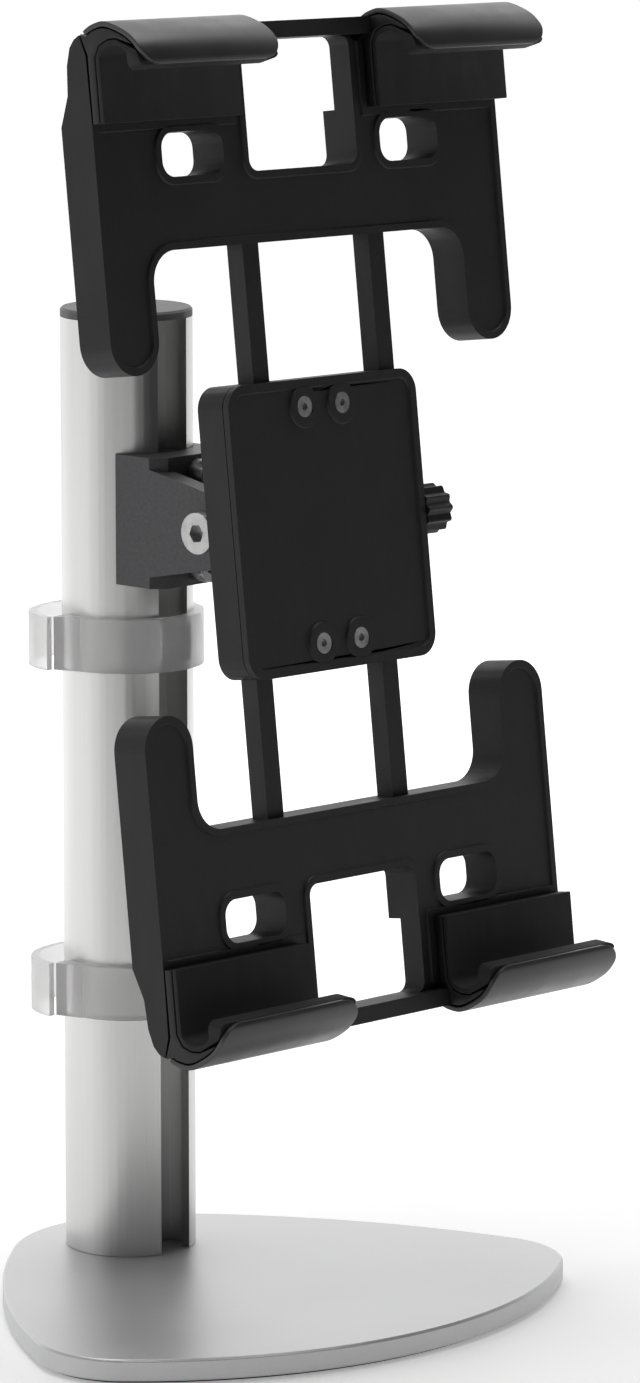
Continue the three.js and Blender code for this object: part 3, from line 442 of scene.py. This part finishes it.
def claw_lining(name, body, place, x0, x1):
    """The rubber that wraps the tablet's edge, with a rounded nose behind the shell's lip."""
    under = shifted(COVER_LINE, COVER_THICKNESS + PLAY)[-LINING_LIP:]
    hook = shifted(LINING_LINE, LINING_THICKNESS)[LINING_LIP - 1:]
    outline = LINING_LINE + list(reversed(list(reversed(under)) + hook))
    piece = bar(outline, x0, x1)
    nose = (Vector((0, *LINING_LINE[0])) + Vector((0, *under[-1]))) / 2
    pick(piece, "EDGE", lambda at: (Vector((0, at.y, at.z)) - nose).length < 0.001 * MM)
    bpy.ops.mesh.bevel(offset=LINING_CORNER, segments=5)
    bpy.ops.object.mode_set(mode="OBJECT")
    round_edges(piece, 0.45 * MM, angle=50)
    return complete(piece, name, body, "rubber", name.replace("_grip", "_lining"), place)


def claw_hook(name, body, place, x0, x1):
    """The hard core between the shell and the rubber, which stands on the half frame."""
    outside = shifted([SEAM] + COVER_LINE, COVER_THICKNESS + PLAY)[1:-LINING_LIP]
    inside = shifted(LINING_LINE, LINING_THICKNESS + PLAY)[LINING_LIP - 1:]
    foot = FRAME_FRONT + PLAY
    outline = [(LINING_LINE[-1][0], foot), (EDGE + 0.2 * MM, foot), (SEAM[0] + PLAY, SEAM[1] + PLAY)]
    piece = bar(outline + outside + inside, x0, x1)
    round_edges(piece, 0.3 * MM, angle=40)
    return complete(piece, name, body, "black_plastic", name.replace("_hook", "_claw"), place)


for half, place in HALVES.items():
    for side in ("left", "right"):
        low, high = span(f"{half}_{side}_cover", place)
        body = f"{half}_half"
        claw_cover(f"{half}_{side}_shell", body, place, low.x, high.x)
        claw_lining(f"{half}_{side}_grip", body, place, low.x, high.x)
        claw_hook(f"{half}_{side}_hook", body, place, low.x, high.x)


# ---- moulded housings of the cradle ----------------------------------------------------------------

PANEL_SINK = 0.5 * MM
PANEL_SLOPE = 0.35 * MM  # how wide the wall between rim and panel is, seen from the front
BOLT_ROOM = 0.1 * MM  # between the lid and the head of the turning bolt
DEPTH_PLAY = 0.02 * MM  # how far a face may lie from the depth it is looked for at
INSIDE_PLAY = 0.06 * MM  # the same for the lid's inside and the first row of its rounded edge


def copied(node, name):
    """A copy of a CAD piece with its triangles merged into whole faces, ready to be worked on."""
    bpy.ops.object.select_all(action="DESELECT")
    piece = bpy.data.objects.new(name, NODES[node].data.copy())
    bpy.context.scene.collection.objects.link(piece)
    bpy.context.view_layer.objects.active = piece
    piece.select_set(True)
    bpy.ops.object.mode_set(mode="EDIT")
    bpy.ops.mesh.select_all(action="SELECT")
    bpy.ops.mesh.remove_doubles(threshold=WELD)
    bpy.ops.mesh.dissolve_limited(angle_limit=FLAT)
    bpy.ops.object.mode_set(mode="OBJECT")
    return piece


def sunk_panel(piece, depth, rim):
    """Sinks the faces that lie at one depth of the cradle, and leaves a rim round all their edges."""
    back = CRADLE.inverted()
    pick(piece, "FACE", lambda at: abs((back @ at).z - depth) < DEPTH_PLAY)
    bpy.ops.mesh.inset(thickness=rim, depth=0)
    bpy.ops.mesh.inset(thickness=PANEL_SLOPE, depth=-PANEL_SINK)
    bpy.ops.object.mode_set(mode="OBJECT")


def even_shading(piece):
    """Lets the large faces set the shading, so that flats stay flat beside their rounded edges."""
    normals = piece.modifiers.new("even shading", "WEIGHTED_NORMAL")
    normals.mode = "FACE_AREA"
    normals.weight = 100
    normals.thresh = 0.0


def housing(node, name, body, depth, rim, edge):
    """A moulding of the cradle with a sunk panel in its front face and rounded edges."""
    piece = copied(node, name)
    sunk_panel(piece, depth, rim)
    round_edges(piece, edge, segments=3, angle=40)
    complete(piece, name, body, "black_plastic", node)
    even_shading(piece)
    return piece


def clear_of_bolt(piece, depth):
    """Takes a little off the inside face of the lid, so that it turns freely over the bolt's head."""
    back = CRADLE.inverted()
    bpy.context.view_layer.objects.active = piece
    pick(piece, "VERT", lambda at: (back @ at).z < depth + INSIDE_PLAY)
    bpy.ops.transform.translate(value=CRADLE.to_3x3() @ Vector((0, 0, BOLT_ROOM)))
    bpy.ops.object.mode_set(mode="OBJECT")


def second_half(first, name, body, node):
    """The same moulding again, turned half round in the cradle for its other end."""
    piece = bpy.data.objects.new(name, first.data.copy())
    bpy.context.scene.collection.objects.link(piece)
    piece.data.transform(HALVES["lower"] @ HALVES["upper"].inverted())
    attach(piece, body)
    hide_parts(node)
    even_shading(piece)


hub_inside, hub_face = (corner.z for corner in span("hub_front", CRADLE))
hub_lid = housing("hub_front", "hub_lid", "hub", hub_face, rim=2.2 * MM, edge=0.5 * MM)
clear_of_bolt(hub_lid, hub_inside)
upper_chassis = housing(
    "upper_frame", "upper_chassis", "upper_half", FRAME_FRONT, rim=1.8 * MM, edge=0.4 * MM
)
second_half(upper_chassis, "lower_chassis", "lower_half", "lower_frame")


# ---- CAD pieces that show as they are --------------------------------------------------------------

def soften(node, slot, width):
    """Gives a CAD piece its finish, marks its faces smooth and rounds its edges with live modifiers. Its points
    stay where they are.
    """
    piece = NODES[node]
    wear(piece, slot)
    for polygon in piece.data.polygons:
        polygon.use_smooth = True
    weld = piece.modifiers.new("joined", "WELD")
    weld.merge_threshold = WELD
    flat = piece.modifiers.new("flat faces", "DECIMATE")
    flat.decimate_type = "DISSOLVE"
    flat.angle_limit = FLAT
    edges = piece.modifiers.new("edges", "BEVEL")
    edges.width = width
    edges.segments = 2
    edges.limit_method = "ANGLE"
    edges.angle_limit = math.radians(30)
    even_shading(piece)


SLOT_OF = {subpart["node"]: subpart["material_slot"] for subpart in frame["record"]["subparts"]}
EDGE_WIDTHS = {"base_plate": 0.2, "column": 0.2, "arm_bracket": 0.8, "tilt_knuckle": 0.5, "hub_back": 0.5}
for node in NODES:
    if any(part in node for part in ("_cover", "_lining", "_claw", "_frame", "hub_front")):
        continue
    soften(node, SLOT_OF[node], EDGE_WIDTHS.get(node, 0.15) * MM)


# ---- camera, floor and lights ----------------------------------------------------------------------

CAMERA_AT = (-1.20524, -1.17620, 0.45137)
CAMERA_TOWARDS = (0.72506, 0.66649, -0.17343)
CAMERA_LENS = 169.7  # millimetres on a 36 mm sensor


def camera():
    """A long lens from the front left, a little above the cradle."""
    data = bpy.data.cameras.new("camera")
    data.sensor_width = 36
    data.lens = CAMERA_LENS
    data.clip_end = 20
    made = bpy.data.objects.new("camera", data)
    bpy.context.scene.collection.objects.link(made)
    made.location = CAMERA_AT
    made.rotation_euler = Vector(CAMERA_TOWARDS).to_track_quat("-Z", "Y").to_euler()
    bpy.context.scene.camera = made


def softbox(name, power, size, at, to):
    """A rectangular light of a size in metres, turned towards a point."""
    data = bpy.data.lights.new(name, "AREA")
    data.shape = "RECTANGLE"
    data.size, data.size_y = size
    data.energy = power
    made = bpy.data.objects.new(name, data)
    bpy.context.scene.collection.objects.link(made)
    made.location = at
    made.rotation_euler = (Vector(to) - Vector(at)).to_track_quat("-Z", "Y").to_euler()


LEFT = ((-0.677, 0.736, 0), 0.5, 1.0)  # a bright wall: its direction, where it starts and is full
BEHIND = ((0.736, 0.677, 0), 0.35, 0.85)


def wall(shade, toward, direction, start, full):
    """How much of a wall a direction meets, from 0 to 1."""
    facing = shade.node("VectorMath", {"operation": "DOT_PRODUCT"}, {0: toward, 1: direction}, "Value")
    settings = {"interpolation_type": "SMOOTHSTEP"}
    return shade.node("MapRange", settings, {"Value": facing, "From Min": start, "From Max": full})


def studio():
    """A pale floor that glows with painted light, a world bright from behind and from a left wall, dark to the
    right and front, and a soft top light.
    """
    floor = begin(bpy.ops.mesh.primitive_plane_add, size=30)
    floor.name = "floor"
    fixed = {"Base Color": (0.93, 0.93, 0.93, 1), "Roughness": 0.9, "Emission Strength": 1.0}
    made, shader, shade = material("floor", fixed)
    place = shade.node("TexCoord", output="Object")
    away = shade.node("VectorMath", {"operation": "LENGTH"}, {0: place}, "Value")
    toward = shade.node("VectorMath", {"operation": "NORMALIZE"}, {0: place}, "Vector")
    # Painted light: the floor glows by its own emission though it is no lamp. The glow is faint close to the
    # stand, where it washes out the stand's shadow. It grows away from the stand, most towards the left and
    # behind, as if bright walls lit it.
    near_glow = 0.24 * (1 - away.spread(0.2, 2.0))
    sides = 0.12 + 0.5 * wall(shade, toward, *LEFT) + 0.6 * wall(shade, toward, *BEHIND)
    floor_glow = (near_glow + away.spread(0.1, 0.9) * sides).blend((0,) * 3, (1,) * 3)
    made.node_tree.links.new(floor_glow.socket, shader.inputs["Emission Color"])
    floor.data.materials.append(made)

    world = bpy.data.worlds.new("studio")
    world.use_nodes = True
    sky = Shade(world.node_tree)
    toward = sky.node("TexCoord", output="Generated")

    glow = 0.06 + 0.84 * wall(sky, toward, *LEFT) + 1.2 * wall(sky, toward, *BEHIND)
    seen = sky.node("LightPath", output="Is Camera Ray")
    strength = seen + (1 - seen) * glow
    world.node_tree.links.new(strength.socket, world.node_tree.nodes["Background"].inputs["Strength"])
    world.node_tree.nodes["Background"].inputs["Color"].default_value = (1, 1, 1, 1)
    bpy.context.scene.world = world

    softbox("top softbox", 11, (1.2, 1.0), (0.1, 0.1, 1.3), (0, 0, 0.1))
    bpy.context.scene.view_settings.view_transform = "Standard"


camera()
studio()
